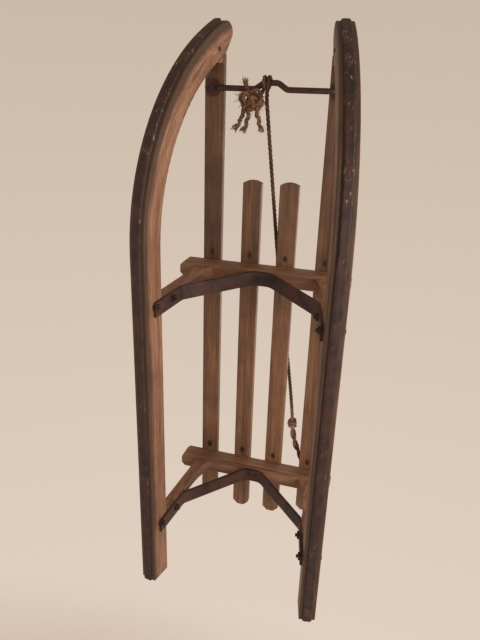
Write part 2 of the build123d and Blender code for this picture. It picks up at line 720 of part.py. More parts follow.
def build():
    rakes = {front_beam_y: front_leg_rake, rear_beam_y: rear_leg_rake}
    shoe_nails = make_shoe_nails()
    brace_bolts = []
    brace_nuts = []
    pegs = []
    legs = {}
    for beam_y, rake in rakes.items():
        bolts, nuts = make_brace_bolts(beam_y, rake)
        brace_bolts += bolts
        brace_nuts += nuts
        pegs += make_pegs(beam_y, rake)
        legs[beam_y] = make_leg(beam_y, rake)

    tenons = [foot_tenon(beam_y, rake) for beam_y, rake in rakes.items()]
    slat_nails = []
    for x in (outer_slat_x, middle_slat_x):
        slat_nails += nails_of_slat(x)
    ledge_nail = nail_down(outer_slat_x, ledge_shoulder_y + ledge_nail_setback, beam_nail_length)
    slat_nails.append(ledge_nail)
    nose_nail = make_nose_nail()
    fixings = tenons + shoe_nails + brace_bolts + pegs + [ledge_nail, nose_nail]
    runner = cut(make_runner(), fixings)
    shoe = cut(make_shoe(), shoe_nails)
    ground = box_between((-far, -far, -far), (far, far, 0))
    shoe_nails = [nail - ground for nail in shoe_nails]
    save("right_runner", runner)
    save("left_runner", other_side(runner))
    save("right_shoe", shoe)
    save("left_shoe", other_side(shoe))
    save("shoe_nails", Compound(shoe_nails + [other_side(n) for n in shoe_nails]))
    save("nose_nails", Compound([nose_nail, other_side(nose_nail)]))

    for name, beam_y in (("front", front_beam_y), ("rear", rear_beam_y)):
        leg = cut(legs[beam_y], brace_bolts + pegs)
        save(f"right_{name}_leg", leg)
        save(f"left_{name}_leg", other_side(leg))
    save("leg_pegs", Compound(pegs + [other_side(p) for p in pegs]))

    all_slat_nails = slat_nails + [other_side(n) for n in slat_nails]
    save("slat_nails", Compound(all_slat_nails))

    for name, beam_y in (("front", front_beam_y), ("rear", rear_beam_y)):
        screws = make_beam_screws(beam_y)
        right_tools = [top_tenon(beam_y)] + pegs
        beam = cut(make_beam(beam_y), right_tools + [other_side(t) for t in right_tools])
        beam = cut(beam, all_slat_nails + screws)
        save(f"{name}_beam", beam)
        brace = make_brace(beam_y, rakes[beam_y])
        both_bolts = brace_bolts + [other_side(b) for b in brace_bolts]
        save(f"{name}_brace", cut(brace, both_bolts + screws))
        save(f"{name}_brace_screws", Compound(screws))
    save("brace_bolts", Compound(brace_bolts + [other_side(b) for b in brace_bolts]))
    save("brace_nuts", Compound(brace_nuts + [other_side(n) for n in brace_nuts]))

    bar_bolts, bar_nuts = make_bar_bolts()
    bar = cut(make_pull_bar(), bar_bolts)
    save("pull_bar", bar)
    save("pull_bar_bolts", Compound(bar_bolts))
    save("pull_bar_nuts", Compound(bar_nuts))

    outer_front_y = ledge_shoulder_y + slat_joint_gap
    outer = make_slat(outer_slat_x, outer_front_y, outer_slat_tail_y, 0)
    outer = cut(outer, slat_nails + bar_bolts)
    middle = make_slat(middle_slat_x, middle_slat_front_y, middle_slat_tail_y, slat_end_bulge)
    middle = cut(middle, slat_nails)
    save("right_outer_slat", outer)
    save("left_outer_slat", other_side(outer))
    save("right_middle_slat", middle)
    save("left_middle_slat", other_side(middle))

    rope = make_rope()
    hitch = make_hitch()
    front_knot = make_front_knot()
    tail_knot = make_tail_knot()
    save("rope", cut(rope, [front_knot]))
    save("rope_front_knot", cut(front_knot, [bar]))
    save("rope_tail_knot", tail_knot)
    save("rope_hitch", Compound(hitch))


build()
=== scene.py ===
"""Finish of the slatted sled: aged wood, rusted iron, laid hemp rope, and its stage."""
import math
import random

import bpy
from bpy.props import FloatProperty, FloatVectorProperty, IntProperty, PointerProperty
from mathutils import Matrix, Vector
from mathutils.geometry import interpolate_bezier


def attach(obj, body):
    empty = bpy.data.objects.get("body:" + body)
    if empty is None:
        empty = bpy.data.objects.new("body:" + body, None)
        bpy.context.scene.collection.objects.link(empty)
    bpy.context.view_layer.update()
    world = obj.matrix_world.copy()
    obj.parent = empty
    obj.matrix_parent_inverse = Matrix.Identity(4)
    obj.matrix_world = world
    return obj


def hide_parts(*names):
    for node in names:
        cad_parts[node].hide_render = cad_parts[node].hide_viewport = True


bl_info = {
    "name": "Slatted Sled",
    "version": (1, 0, 0),
    "blender": (4, 5, 0),
    "location": "View3D > Sidebar > Sled",
    "description": "Finishes a slatted wooden sled and ties its pull rope",
    "category": "Object",
}

MM = 0.001

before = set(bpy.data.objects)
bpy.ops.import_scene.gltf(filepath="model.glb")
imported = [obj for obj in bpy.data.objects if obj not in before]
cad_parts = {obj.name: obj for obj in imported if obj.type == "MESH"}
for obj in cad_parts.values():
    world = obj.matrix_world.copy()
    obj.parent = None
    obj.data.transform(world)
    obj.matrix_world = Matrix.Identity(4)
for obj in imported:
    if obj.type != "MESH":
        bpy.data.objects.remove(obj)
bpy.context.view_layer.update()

# Which CAD nodes are made of what
RUNNERS = ("right_runner", "left_runner")
LEGS = ("right_front_leg", "left_front_leg", "right_rear_leg", "left_rear_leg")
BEAMS = ("front_beam", "rear_beam")
SLATS = ("right_outer_slat", "left_outer_slat", "right_middle_slat", "left_middle_slat")
SHOES = ("right_shoe", "left_shoe")
BRACES = ("front_brace", "rear_brace", "pull_bar")
FASTENERS = ("shoe_nails", "nose_nails", "slat_nails", "front_brace_screws", "rear_brace_screws",
             "brace_bolts", "brace_nuts", "pull_bar_bolts", "pull_bar_nuts")

# The rope's route in millimetres: the same points that its CAD tube has, with one more
# each side of the front beam, where the rope comes up over the slat.
ROPE_ROUTE = [
    (-12.0, -379.0, 211.0), (11.3, -149.0, 233.0), (15.5, -107.0, 237.0),
    (22.2, -65.0, 236.9), (52.0, 122.0, 236.5), (66.0, 214.0, 230.5),
    (70.0, 262.0, 229.5), (80.0, 298.0, 234.5), (96.0, 330.0, 237.0),
    (105.8, 363.2, 235.2),
]
# Where the bow's circle starts and how high its centre is, for grain that follows the bend
BOW_START = -150 * MM
BOW_CENTRE_Z = 374 * MM
# The lines of nails that hold the slats down, where iron has stained the wood
SLAT_NAILS_X = (106.3 * MM, 33.5 * MM)
SLAT_NAILS_Y = (-111 * MM, 315 * MM)


def linear(text):
    """An sRGB hex colour as linear red, green and blue."""
    values = [int(text[i:i + 2], 16) / 255 for i in (1, 3, 5)]
    return tuple(v / 12.92 if v <= 0.04045 else ((v + 0.055) / 1.055) ** 2.4 for v in values)


def colour_property(name, description, text):
    return FloatVectorProperty(name=name, description=description, subtype="COLOR",
                               size=3, min=0.0, max=1.0, default=linear(text))


class SledWoodSettings(bpy.types.PropertyGroup):
    wood_light: colour_property("Light wood", "Sun-bleached early wood", "#9C745B")
    wood_mid: colour_property("Wood", "The wood's main tone", "#744F39")
    wood_dark: colour_property("Dark wood", "Late wood and grime", "#3F281A")
    slat_light: colour_property("Light slat", "Early wood of the slats", "#8B6449")
    slat_mid: colour_property("Slat", "The slats' main tone", "#684731")
    slat_dark: colour_property("Dark slat", "Late wood of the slats", "#382417")
    fibre_width: FloatProperty(name="Fibre width", description="Across the grain",
                               default=1.6 * MM, min=0.2 * MM, unit="LENGTH")


class SledIronSettings(bpy.types.PropertyGroup):
    iron: colour_property("Iron", "Brown oxide skin", "#371D15")
    iron_dark: colour_property("Dark iron", "Forge scale", "#1B0F0B")
    rust: colour_property("Rust", "Loose red rust", "#512B1C")
    # Pale colour of the worn spots on the shoes: rubbed bare iron and a painted highlight.
    bright: colour_property("Worn iron", "Iron polished by the ground", "#C2B5AB")


class SledRopeSettings(bpy.types.PropertyGroup):
    rope_light: colour_property("Light hemp", "Dry fibres", "#A88468")
    rope_mid: colour_property("Hemp", "The rope's main tone", "#684A38")
    rope_dark: colour_property("Dark hemp", "Dirt between the strands", "#34211A")
    diameter: FloatProperty(name="Rope diameter", description="Over the strands",
                            default=6.8 * MM, min=2 * MM, unit="LENGTH")
    lay: FloatProperty(name="Lay", description="Length of one turn of a strand",
                       default=24 * MM, min=5 * MM, unit="LENGTH")
    fuzz: IntProperty(name="Fuzz", description="Loose fibres on the front knot",
                      default=260, min=0)


class SledStageSettings(bpy.types.PropertyGroup):
    sheet: colour_property("Sheet", "Pale cloth of the floor", "#E3DCDA")
    room: colour_property("Room", "Pale light from all round", "#EBD9C9")
    key_power: FloatProperty(name="Key light", description="Soft light from the right",
                             default=52.0, min=0.0, unit="POWER")
    room_strength: FloatProperty(name="Room strength", description="Light from all round",
                                 default=0.92, min=0.0)
    lens: FloatProperty(name="Lens", description="Focal length", default=32.54,
                        min=5.0, unit="CAMERA")


# ------------------------------------------------------------------ materials
def add(tree, kind, *first, inputs=None, stops=None, **settings):
    """Add a node with its settings, colour stops and links.

    The values in first fill its inputs in order, and inputs names the others. A node
    given as a value stands for its own first output.
    """
    node = tree.nodes.new(kind)
    for name, value in settings.items():
        setattr(node, name, value)
    for name, value in [*enumerate(first), *(inputs or {}).items()]:
        if isinstance(value, bpy.types.Node):
            value = value.outputs[0]
        if isinstance(value, bpy.types.NodeSocket):
            tree.links.new(value, node.inputs[name])
        else:
            node.inputs[name].default_value = value
    if stops:
        elements = node.color_ramp.elements
        while len(elements) < len(stops):
            elements.new(0.5)
        for element, (place, colour) in zip(elements, stops):
            element.position = place
            element.color = (*colour, 1.0)
    return node


def new_material(name):
    material = bpy.data.materials.new(name)
    material.use_nodes = True
    tree = material.node_tree
    tree.nodes.clear()
    shader = add(tree, "ShaderNodeBsdfPrincipled")
    add(tree, "ShaderNodeOutputMaterial", shader)
    return material, tree, shader


def grain_coordinates(tree, along):
    """Object coordinates, then the same turned so that Y runs along the grain, in parts."""
    place = add(tree, "ShaderNodeTexCoord").outputs["Object"]
    x, y, z = add(tree, "ShaderNodeSeparateXYZ", place).outputs
    if along == "X":
        x, y = y, x
    if along == "Z":
        y, z = z, y
    if along == "BOW":
        # On the bow, the grain runs round the bow's circle.
        centre = (0.0, BOW_START, BOW_CENTRE_Z)
        spoke = add(tree, "ShaderNodeVectorMath", centre, place, operation="SUBTRACT")
        spoke = add(tree, "ShaderNodeVectorMath", spoke, (0.0, 1.0, 1.0), operation="MULTIPLY")
        radius = add(tree, "ShaderNodeVectorMath", spoke, operation="LENGTH").outputs["Value"]
        _, ahead, drop = add(tree, "ShaderNodeSeparateXYZ", spoke).outputs
        turn = add(tree, "ShaderNodeMath", ahead, drop, operation="ARCTAN2")
        arc = add(tree, "ShaderNodeMath", turn, BOW_CENTRE_Z, operation="MULTIPLY")
        bent_y = add(tree, "ShaderNodeMath", BOW_START, arc, operation="SUBTRACT")
        bent_z = add(tree, "ShaderNodeMath", BOW_CENTRE_Z, radius, operation="SUBTRACT")
        on_bow = add(tree, "ShaderNodeMath", ahead, 0.0, operation="GREATER_THAN")
        y = add(tree, "ShaderNodeMix", on_bow, inputs={2: y, 3: bent_y})
        z = add(tree, "ShaderNodeMix", on_bow, inputs={2: z, 3: bent_z})
    turned = add(tree, "ShaderNodeCombineXYZ", x, y, z)
    return place, turned, (x, y, z)


def aged_wood(name, along, tones, settings, stain_and_shade=None):
    """Bare wood, split and planed by hand, then darkened by a century of handling.

    Long fibres, soft bands of early and late wood, broad weathered patches and a few
    dark scratches. The stain argument adds more darkness where iron or dirt have darkened
    it, and painted shade towards the seat's front on the slats.
    """
    material, tree, shader = new_material(name)
    place, turned, parts = grain_coordinates(tree, along)
    light, mid, dark = tones
    fibre_scale = 1.0 / settings.fibre_width
    fibre = add(tree, "ShaderNodeMapping", turned,
                inputs={"Scale": (fibre_scale, 14.0, fibre_scale)})
    fibre = add(tree, "ShaderNodeTexNoise", fibre,
                inputs={"Scale": 1.0, "Detail": 3.0, "Roughness": 0.65})
    # Early and late wood change about every 13 mm across the board.
    band = add(tree, "ShaderNodeMapping", turned, inputs={"Scale": (75.0, 2.6, 130.0)})
    band = add(tree, "ShaderNodeTexNoise", band,
               inputs={"Scale": 1.0, "Detail": 4.0, "Roughness": 0.6, "Distortion": 0.9})
    patch = add(tree, "ShaderNodeTexNoise", place,
                inputs={"Scale": 11.0, "Detail": 4.0, "Roughness": 0.6})
    scratch = add(tree, "ShaderNodeMapping", turned,
                  inputs={"Scale": (700.0, 30.0, 700.0), "Rotation": (0.05, 0.02, 0.08)})
    scratch = add(tree, "ShaderNodeTexNoise", scratch, inputs={"Scale": 1.0, "Detail": 1.0})
    band_share = add(tree, "ShaderNodeMath", band, 0.55, operation="MULTIPLY")
    tone = add(tree, "ShaderNodeMath", fibre, 0.45, band_share, operation="MULTIPLY_ADD")
    wood = add(tree, "ShaderNodeValToRGB", tone,
               stops=[(0.33, dark), (0.47, mid), (0.66, light)])
    grime = add(tree, "ShaderNodeMapRange", patch,
                inputs={"From Min": 0.42, "From Max": 0.72, "To Max": 0.75},
                interpolation_type="SMOOTHSTEP")
    grime_colour = tuple(0.45 * d + 0.55 * m for d, m in zip(dark, mid))
    worn = add(tree, "ShaderNodeMix", grime, inputs={6: wood, 7: (*grime_colour, 1.0)},
               data_type="RGBA").outputs[2]
    marks_and_shade = add(tree, "ShaderNodeMapRange", scratch,
               inputs={"From Min": 0.66, "From Max": 0.74, "To Max": 0.6})
    if stain_and_shade is not None:
        marks_and_shade = add(tree, "ShaderNodeMath", marks_and_shade, stain_and_shade(tree, parts, patch),
                   operation="MAXIMUM")
    # The dark colour for scratches and stains, which on the slats also paints shade towards the
    # seat's front.
    soot_and_shade_colour = tuple(0.45 * c for c in dark)
    marked_and_shaded = add(tree, "ShaderNodeMix", marks_and_shade, inputs={6: worn, 7: (*soot_and_shade_colour, 1.0)},
                 data_type="RGBA").outputs[2]
    rough = add(tree, "ShaderNodeMapRange", tone, inputs={"From Min": 0.3, "From Max": 0.7,
                                                          "To Min": 0.5, "To Max": 0.72})
    sunk = add(tree, "ShaderNodeMath", marks_and_shade, -0.3, tone, operation="MULTIPLY_ADD")
    bump = add(tree, "ShaderNodeBump",
               inputs={"Height": sunk, "Strength": 0.55, "Distance": 0.9 * MM})
    tree.links.new(marked_and_shaded, shader.inputs["Base Color"])
    tree.links.new(rough.outputs[0], shader.inputs["Roughness"])
    tree.links.new(bump.outputs[0], shader.inputs["Normal"])
    shader.inputs["Specular IOR Level"].default_value = 0.4
    return material


def shoe_stain(tree, parts, patch):
    """Rust and dirt that crept up from the iron shoe into the runner's lower side."""
    height = add(tree, "ShaderNodeMath", patch, -14 * MM, parts[2], operation="MULTIPLY_ADD")
    return add(tree, "ShaderNodeMapRange", height,
               inputs={"From Min": -2 * MM, "From Max": 9 * MM, "To Min": 0.8, "To Max": 0.0},
               interpolation_type="SMOOTHSTEP")


def seat_stain_and_shade(tree, parts, patch):
    """Black iron marks round the slats' nails, and painted shade towards the seat's front."""
    x, y, _ = parts
    side = add(tree, "ShaderNodeMath", x, operation="ABSOLUTE")
    near = {}
    for way, place, nails in (("across", side, SLAT_NAILS_X), ("down", y, SLAT_NAILS_Y)):
        aways = []
        for nail in nails:
            away = add(tree, "ShaderNodeMath", place, nail, operation="SUBTRACT")
            aways.append(add(tree, "ShaderNodeMath", away, operation="ABSOLUTE"))
        near[way] = add(tree, "ShaderNodeMath", *aways, operation="MINIMUM")
    # The iron's trace is drawn out along the grain, so that way counts less.
    down = add(tree, "ShaderNodeMath", near["down"], 0.6, operation="MULTIPLY")
    reach = add(tree, "ShaderNodeCombineXYZ", near["across"], down)
    reach = add(tree, "ShaderNodeVectorMath", reach, operation="LENGTH").outputs["Value"]
    edge = add(tree, "ShaderNodeMath", patch, -4 * MM, reach, operation="MULTIPLY_ADD")
    iron = add(tree, "ShaderNodeMapRange", edge,
               inputs={"From Min": 0.5 * MM, "From Max": 4.5 * MM, "To Min": 0.95,
                       "To Max": 0.0}, interpolation_type="SMOOTHSTEP")
    # Painted shade: the slats grow darker in patches towards the seat's front.
    painted_front_shade = add(tree, "ShaderNodeMapRange", y,
                inputs={"From Min": 180 * MM, "From Max": -220 * MM, "To Max": 0.8},
                interpolation_type="SMOOTHSTEP")
    painted_front_shade = add(tree, "ShaderNodeMath", painted_front_shade, patch, operation="MULTIPLY")
    return add(tree, "ShaderNodeMath", iron, painted_front_shade, operation="MAXIMUM")


def forged_iron(name, settings, rust, worn=False):
    """Wrought bar, hammered hot, with a brown oxide skin and dull red rust in its pits.

    A worn one is rubbed bare in spots on the side that meets the ground; these spots
    also carry a painted highlight in their pale colour.
    """
    material, tree, shader = new_material(name)
    place = add(tree, "ShaderNodeTexCoord").outputs["Object"]
    hammer = add(tree, "ShaderNodeTexNoise", place,
                 inputs={"Scale": 55.0, "Detail": 3.0, "Roughness": 0.55})
    pits = add(tree, "ShaderNodeTexNoise", place,
               inputs={"Scale": 520.0, "Detail": 3.0, "Roughness": 0.7})
    patch = add(tree, "ShaderNodeTexNoise", place,
                inputs={"Scale": 30.0, "Detail": 5.0, "Roughness": 0.65})
    skin = add(tree, "ShaderNodeValToRGB", hammer,
               stops=[(0.35, settings.iron_dark), (0.6, settings.iron)])
    patch_share = add(tree, "ShaderNodeMath", patch, 0.7, operation="MULTIPLY")
    rusty = add(tree, "ShaderNodeMath", pits, 0.3, patch_share, operation="MULTIPLY_ADD")
    rusty = add(tree, "ShaderNodeMapRange", rusty,
                inputs={"From Min": 0.6 - rust * 0.3, "From Max": 0.78 - rust * 0.3,
                        "To Max": 0.85})
    colour = add(tree, "ShaderNodeMix", rusty, inputs={6: skin, 7: (*settings.rust, 1.0)},
                 data_type="RGBA").outputs[2]
    # Oxide covers nearly all of it, so only the worn spots shine as metal.
    shader.inputs["Metallic"].default_value = 0.15
    if worn:
        # Worn spots on the side that meets the ground: rubbed bare iron that shines as metal,
        # with a painted highlight in their pale colour.
        streak = add(tree, "ShaderNodeMapping", place, inputs={"Scale": (330.0, 45.0, 160.0)})
        streak = add(tree, "ShaderNodeTexNoise", streak,
                     inputs={"Scale": 1.0, "Detail": 3.0, "Roughness": 0.7})
        bright = add(tree, "ShaderNodeMapRange", streak,
                     inputs={"From Min": 0.59, "From Max": 0.66, "To Max": 0.7})
        normal = add(tree, "ShaderNodeNewGeometry").outputs["Normal"]
        down = add(tree, "ShaderNodeSeparateXYZ", normal).outputs[2]
        facing = add(tree, "ShaderNodeMapRange", down,
                     inputs={"From Min": 0.2, "From Max": -0.5})
        # The bow has met the most stones, so most of the worn spots and their painted
        # highlight lie there; farther back only a few spots are bare.
        along = add(tree, "ShaderNodeSeparateXYZ", place).outputs[1]
        share = add(tree, "ShaderNodeMapRange", along,
                    inputs={"From Min": -0.36, "From Max": -0.12, "To Min": 1.0,
                            "To Max": 0.2})
        clusters = add(tree, "ShaderNodeMapRange", patch,
                       inputs={"From Min": 0.5, "From Max": 0.58})
        for limit in (facing, share, clusters):
            bright = add(tree, "ShaderNodeMath", bright, limit, operation="MULTIPLY")
        colour = add(tree, "ShaderNodeMix", bright,
                     inputs={6: colour, 7: (*settings.bright, 1.0)},
                     data_type="RGBA").outputs[2]
        metal = add(tree, "ShaderNodeMapRange", bright, inputs={"To Min": 0.15})
        tree.links.new(metal.outputs[0], shader.inputs["Metallic"])
    rough = add(tree, "ShaderNodeMapRange", pits, inputs={"From Min": 0.3, "From Max": 0.7,
                                                          "To Min": 0.5, "To Max": 0.78})
    height = add(tree, "ShaderNodeMath", pits, 0.35, hammer, operation="MULTIPLY_ADD")
    bump = add(tree, "ShaderNodeBump",
               inputs={"Height": height, "Strength": 0.7, "Distance": 0.8 * MM})
    tree.links.new(colour, shader.inputs["Base Color"])
    tree.links.new(rough.outputs[0], shader.inputs["Roughness"])
    tree.links.new(bump.outputs[0], shader.inputs["Normal"])
    return material


def laid_hemp(name, settings):
    """Hemp yarns laid into strands: matt, hairy, grey-brown, darker in the grooves."""
    material, tree, shader = new_material(name)
    texture = add(tree, "ShaderNodeTexCoord")
    place = texture.outputs["Object"]
    around, along, _ = add(tree, "ShaderNodeSeparateXYZ", texture.outputs["UV"]).outputs
    # Five yarns wind round each strand, and a slanting groove passes every 1.9 mm.
    wound = add(tree, "ShaderNodeMath", around, 5 * math.tau, operation="MULTIPLY")
    wound = add(tree, "ShaderNodeMath", along, math.tau / (1.9 * MM), wound,
                operation="MULTIPLY_ADD")
    yarn = add(tree, "ShaderNodeMath", wound, operation="SINE")
    fibre = add(tree, "ShaderNodeTexNoise", place,
                inputs={"Scale": 900.0, "Detail": 3.0, "Roughness": 0.7})
    patch = add(tree, "ShaderNodeTexNoise", place, inputs={"Scale": 90.0, "Detail": 3.0})
    tone = add(tree, "ShaderNodeMath", patch, 0.45, operation="MULTIPLY")
    tone = add(tree, "ShaderNodeMath", fibre, 0.55, tone, operation="MULTIPLY_ADD")
    tone = add(tree, "ShaderNodeMath", yarn, 0.16, tone, operation="MULTIPLY_ADD")
    # Hands and the slats have darkened the stretch between the knots.
    x, y, _ = add(tree, "ShaderNodeSeparateXYZ", place).outputs
    off_the_knot = add(tree, "ShaderNodeMapRange", x,
                       inputs={"From Min": -15.5 * MM, "From Max": -12.5 * MM})
    before_the_end = add(tree, "ShaderNodeMapRange", y,
                         inputs={"From Min": 225 * MM, "From Max": 180 * MM})
    handled = add(tree, "ShaderNodeMath", off_the_knot, before_the_end, operation="MULTIPLY")
    tone = add(tree, "ShaderNodeMath", handled, -0.15, tone, operation="MULTIPLY_ADD")
    hemp = add(tree, "ShaderNodeValToRGB", tone,
               stops=[(0.28, settings.rope_dark), (0.5, settings.rope_mid),
                      (0.72, settings.rope_light)])
    bump = add(tree, "ShaderNodeBump",
               inputs={"Height": tone, "Strength": 0.8, "Distance": 0.5 * MM})
    tree.links.new(hemp.outputs[0], shader.inputs["Base Color"])
    tree.links.new(bump.outputs[0], shader.inputs["Normal"])
    shader.inputs["Roughness"].default_value = 0.92
    shader.inputs["Specular IOR Level"].default_value = 0.2
    return material


def finish_nodes(names, material):
    for name in names:
        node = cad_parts[name]
        for slot in node.material_slots:
            slot.material = material


class SLED_OT_finish_wood(bpy.types.Operator):
    """Give the runners, legs, beams, slats and pegs their aged wood"""
    bl_idname = "sled.finish_wood"
    bl_label = "Finish the wood"

    def execute(self, context):
        settings = context.scene.sled_wood
        frame_tones = (settings.wood_light, settings.wood_mid, settings.wood_dark)
        slat_tones = (settings.slat_light, settings.slat_mid, settings.slat_dark)
        finish_nodes(RUNNERS, aged_wood("bent_ash_runners", "BOW", frame_tones, settings,
                                        shoe_stain))
        finish_nodes(LEGS, aged_wood("split_ash_legs", "Z", frame_tones, settings))
        finish_nodes(BEAMS, aged_wood("hewn_ash_beams", "X", frame_tones, settings))
        finish_nodes(SLATS, aged_wood("planed_pine_slats", "Y", slat_tones, settings,
                                      seat_stain_and_shade))
        finish_nodes(["leg_pegs"], aged_wood("whittled_oak_pegs", "X", slat_tones, settings))
        return {"FINISHED"}


class SLED_OT_finish_iron(bpy.types.Operator):
    """Give the shoes, braces, bar and fasteners their forged iron"""
    bl_idname = "sled.finish_iron"
    bl_label = "Finish the iron"

    def execute(self, context):
        settings = context.scene.sled_iron
        finish_nodes(SHOES, forged_iron("worn_wrought_iron_with_painted_highlight", settings, rust=0.3, worn=True))
        finish_nodes(BRACES, forged_iron("forged_wrought_iron", settings, rust=0.5))
        finish_nodes(FASTENERS, forged_iron("rusted_mild_steel", settings, rust=0.25))
        return {"FINISHED"}


# ----------------------------------------------------------------- rope making
def smooth_line(points, resolution=24):
    """The points, in metres, of a smooth spline that these millimetre points control."""
    bpy.ops.object.select_all(action="DESELECT")
    bpy.ops.curve.primitive_nurbs_path_add(location=(0, 0, 0))
    guide = bpy.context.object
    guide.data.splines.clear()
    spline = guide.data.splines.new("NURBS")
    spline.points.add(len(points) - 1)
    for point, (x, y, z) in zip(spline.points, points):
        point.co = (x * MM, y * MM, z * MM, 1.0)
    spline.order_u = 3
    spline.use_endpoint_u = True
    spline.resolution_u = resolution
    guide.data.resolution_u = resolution
    mesh = bpy.data.meshes.new_from_object(guide)
    line = [v.co.copy() for v in mesh.vertices]
    bpy.data.meshes.remove(mesh)
    bpy.data.objects.remove(guide)
    return line


def evenly(line, step):
    """The same line with its points this far apart, and how far along each one is."""
    result, lengths = [line[0].copy()], [0.0]
    left, travelled = step, 0.0
    for a, b in zip(line, line[1:]):
        run = (b - a).length
        done = 0.0
        while run - done >= left:
            done += left
            result.append(a.lerp(b, done / run))
            lengths.append(travelled + done)
            left = step
        left -= run - done
        travelled += run
    return result, lengths


def side_frames(line):
    """Two square directions at each point, carried along the line without twisting."""
    frames = []
    side = None
    for i in range(len(line)):
        ahead = (line[min(i + 1, len(line) - 1)] - line[max(i - 1, 0)]).normalized()
        if side is None:
            side = ahead.cross(Vector((0, 0, 1)))
            if side.length < 0.1:
                side = ahead.cross(Vector((1, 0, 0)))
        side = (side - ahead * side.dot(ahead)).normalized()
        frames.append((side.copy(), side.cross(ahead)))
    return frames


class RopeMesh:
    """Collects tubes with the angle and the length along them as their UV map."""

    def __init__(self):
        self.places = []
        self.faces = []
        self.uvs = []

    def tube(self, line, radii, sides):
        first = len(self.places)
        frames = side_frames(line)
        travelled = 0.0
        along = []
        for i, (point, (u, v)) in enumerate(zip(line, frames)):
            if i:
                travelled += (point - line[i - 1]).length
            along.append(travelled)
            for k in range(sides):
                angle = math.tau * k / sides
                self.places.append(point + (u * math.cos(angle) + v * math.sin(angle)) * radii[i])
        for i in range(len(line) - 1):
            for k in range(sides):
                after = (k + 1) % sides
                a, b = first + i * sides, first + (i + 1) * sides
                self.faces.append((a + k, b + k, b + after, a + after))
                low, high = k / sides, (k + 1) / sides
                self.uvs += [(low, along[i]), (low, along[i + 1]), (high, along[i + 1]),
                             (high, along[i])]
        last = first + (len(line) - 1) * sides
        self.faces.append(tuple(first + k for k in range(sides)))
        self.faces.append(tuple(last + k for k in reversed(range(sides))))
        self.uvs += [(k / sides, 0.0) for k in range(sides)]
        self.uvs += [(k / sides, along[-1]) for k in reversed(range(sides))]

    def rope(self, line, diameter, lay, step=1.5 * MM, turn=0.0):
        """Three strands laid together round a line."""
        strand = diameter / 2 / (1 + 2 / math.sqrt(3))
        centre = diameter / 2 - strand
        points, lengths = evenly(line, step)
        frames = side_frames(points)
        for k in range(3):
            path = []
            for point, travelled, (u, v) in zip(points, lengths, frames):
                angle = turn + math.tau * (travelled / lay + k / 3)
                path.append(point + (u * math.cos(angle) + v * math.sin(angle)) * centre)
            self.tube(path, [strand * 1.08] * len(path), 8)

    def to_object(self, name, material):
        mesh = bpy.data.meshes.new(name)
        mesh.from_pydata([tuple(p) for p in self.places], [], self.faces)
        layer = mesh.uv_layers.new(name="UVMap")
        for loop, uv in zip(layer.data, self.uvs):
            loop.uv = uv
        mesh.materials.append(material)
        piece = bpy.data.objects.new(name, mesh)
        bpy.context.scene.collection.objects.link(piece)
        bpy.ops.object.select_all(action="DESELECT")
        piece.select_set(True)
        bpy.context.view_layer.objects.active = piece
        bpy.ops.object.mode_set(mode="EDIT")
        bpy.ops.mesh.select_all(action="SELECT")
        bpy.ops.mesh.normals_make_consistent(inside=False)
        bpy.ops.object.mode_set(mode="OBJECT")
        bpy.ops.object.shade_smooth()
        return piece


def hemp_material(context):
    material = bpy.data.materials.get("laid_hemp")
    return material or laid_hemp("laid_hemp", context.scene.sled_rope)


def hair(rope, chance, start, direction, length, thickness):
    """One loose fibre that curls away from the rope."""
    bend = Vector([chance.uniform(-1, 1) for _ in range(3)]) * length * 0.35
    sag = Vector([chance.uniform(-1, 1) for _ in range(3)]) * length * 0.25
    curve = interpolate_bezier(start,
                               start + direction * length * 0.35 + bend * 0.4,
                               start + direction * length * 0.7 + bend + sag * 0.5,
                               start + direction * length + bend * 0.6 + sag * 1.4, 7)
    rope.tube(curve, [thickness * (1 - 0.75 * i / 6) for i in range(7)], 4)


def frayed_tail(rope, chance, points, settings, share):
    """A rope's end that opens into its yarns after this share of its length."""
    line, lengths = evenly(smooth_line(points), 1.5 * MM)
    whole = int(len(line) * share)
    rope.rope(line[:whole + 2], settings.diameter * 1.1, settings.lay * 0.9)
    frames = side_frames(line)
    for k in range(14):
        angle = math.tau * k / 14 + chance.uniform(-0.3, 0.3)
        spread = chance.uniform(1.0, 5.5) * MM
        reach = chance.uniform(0.8, 1.0)
        wave = chance.uniform(0.6, 1.6) * MM
        phase = chance.uniform(0, math.tau)
        stop = int(whole + (len(line) - whole) * reach)
        path = []
        for i in range(max(whole - 4, 0), stop):
            t = max(0.0, (i - whole) / max(1, len(line) - whole))
            u, v = frames[i]
            out = 1.6 * MM + spread * t
            wobble = wave * t * math.sin(phase + lengths[i] / (3.2 * MM))
            path.append(line[i] + (u * math.cos(angle) + v * math.sin(angle)) * out
                        + (v * math.cos(angle) - u * math.sin(angle)) * wobble)
        if len(path) > 3:
            rope.tube(path, [0.75 * MM] * (len(path) - 1) + [0.4 * MM], 6)
            for _ in range(3):
                away = Vector([chance.uniform(-1, 1) for _ in range(3)]).normalized()
                hair(rope, chance, path[chance.randrange(len(path))], away,
                     chance.uniform(4, 9) * MM, 0.2 * MM)


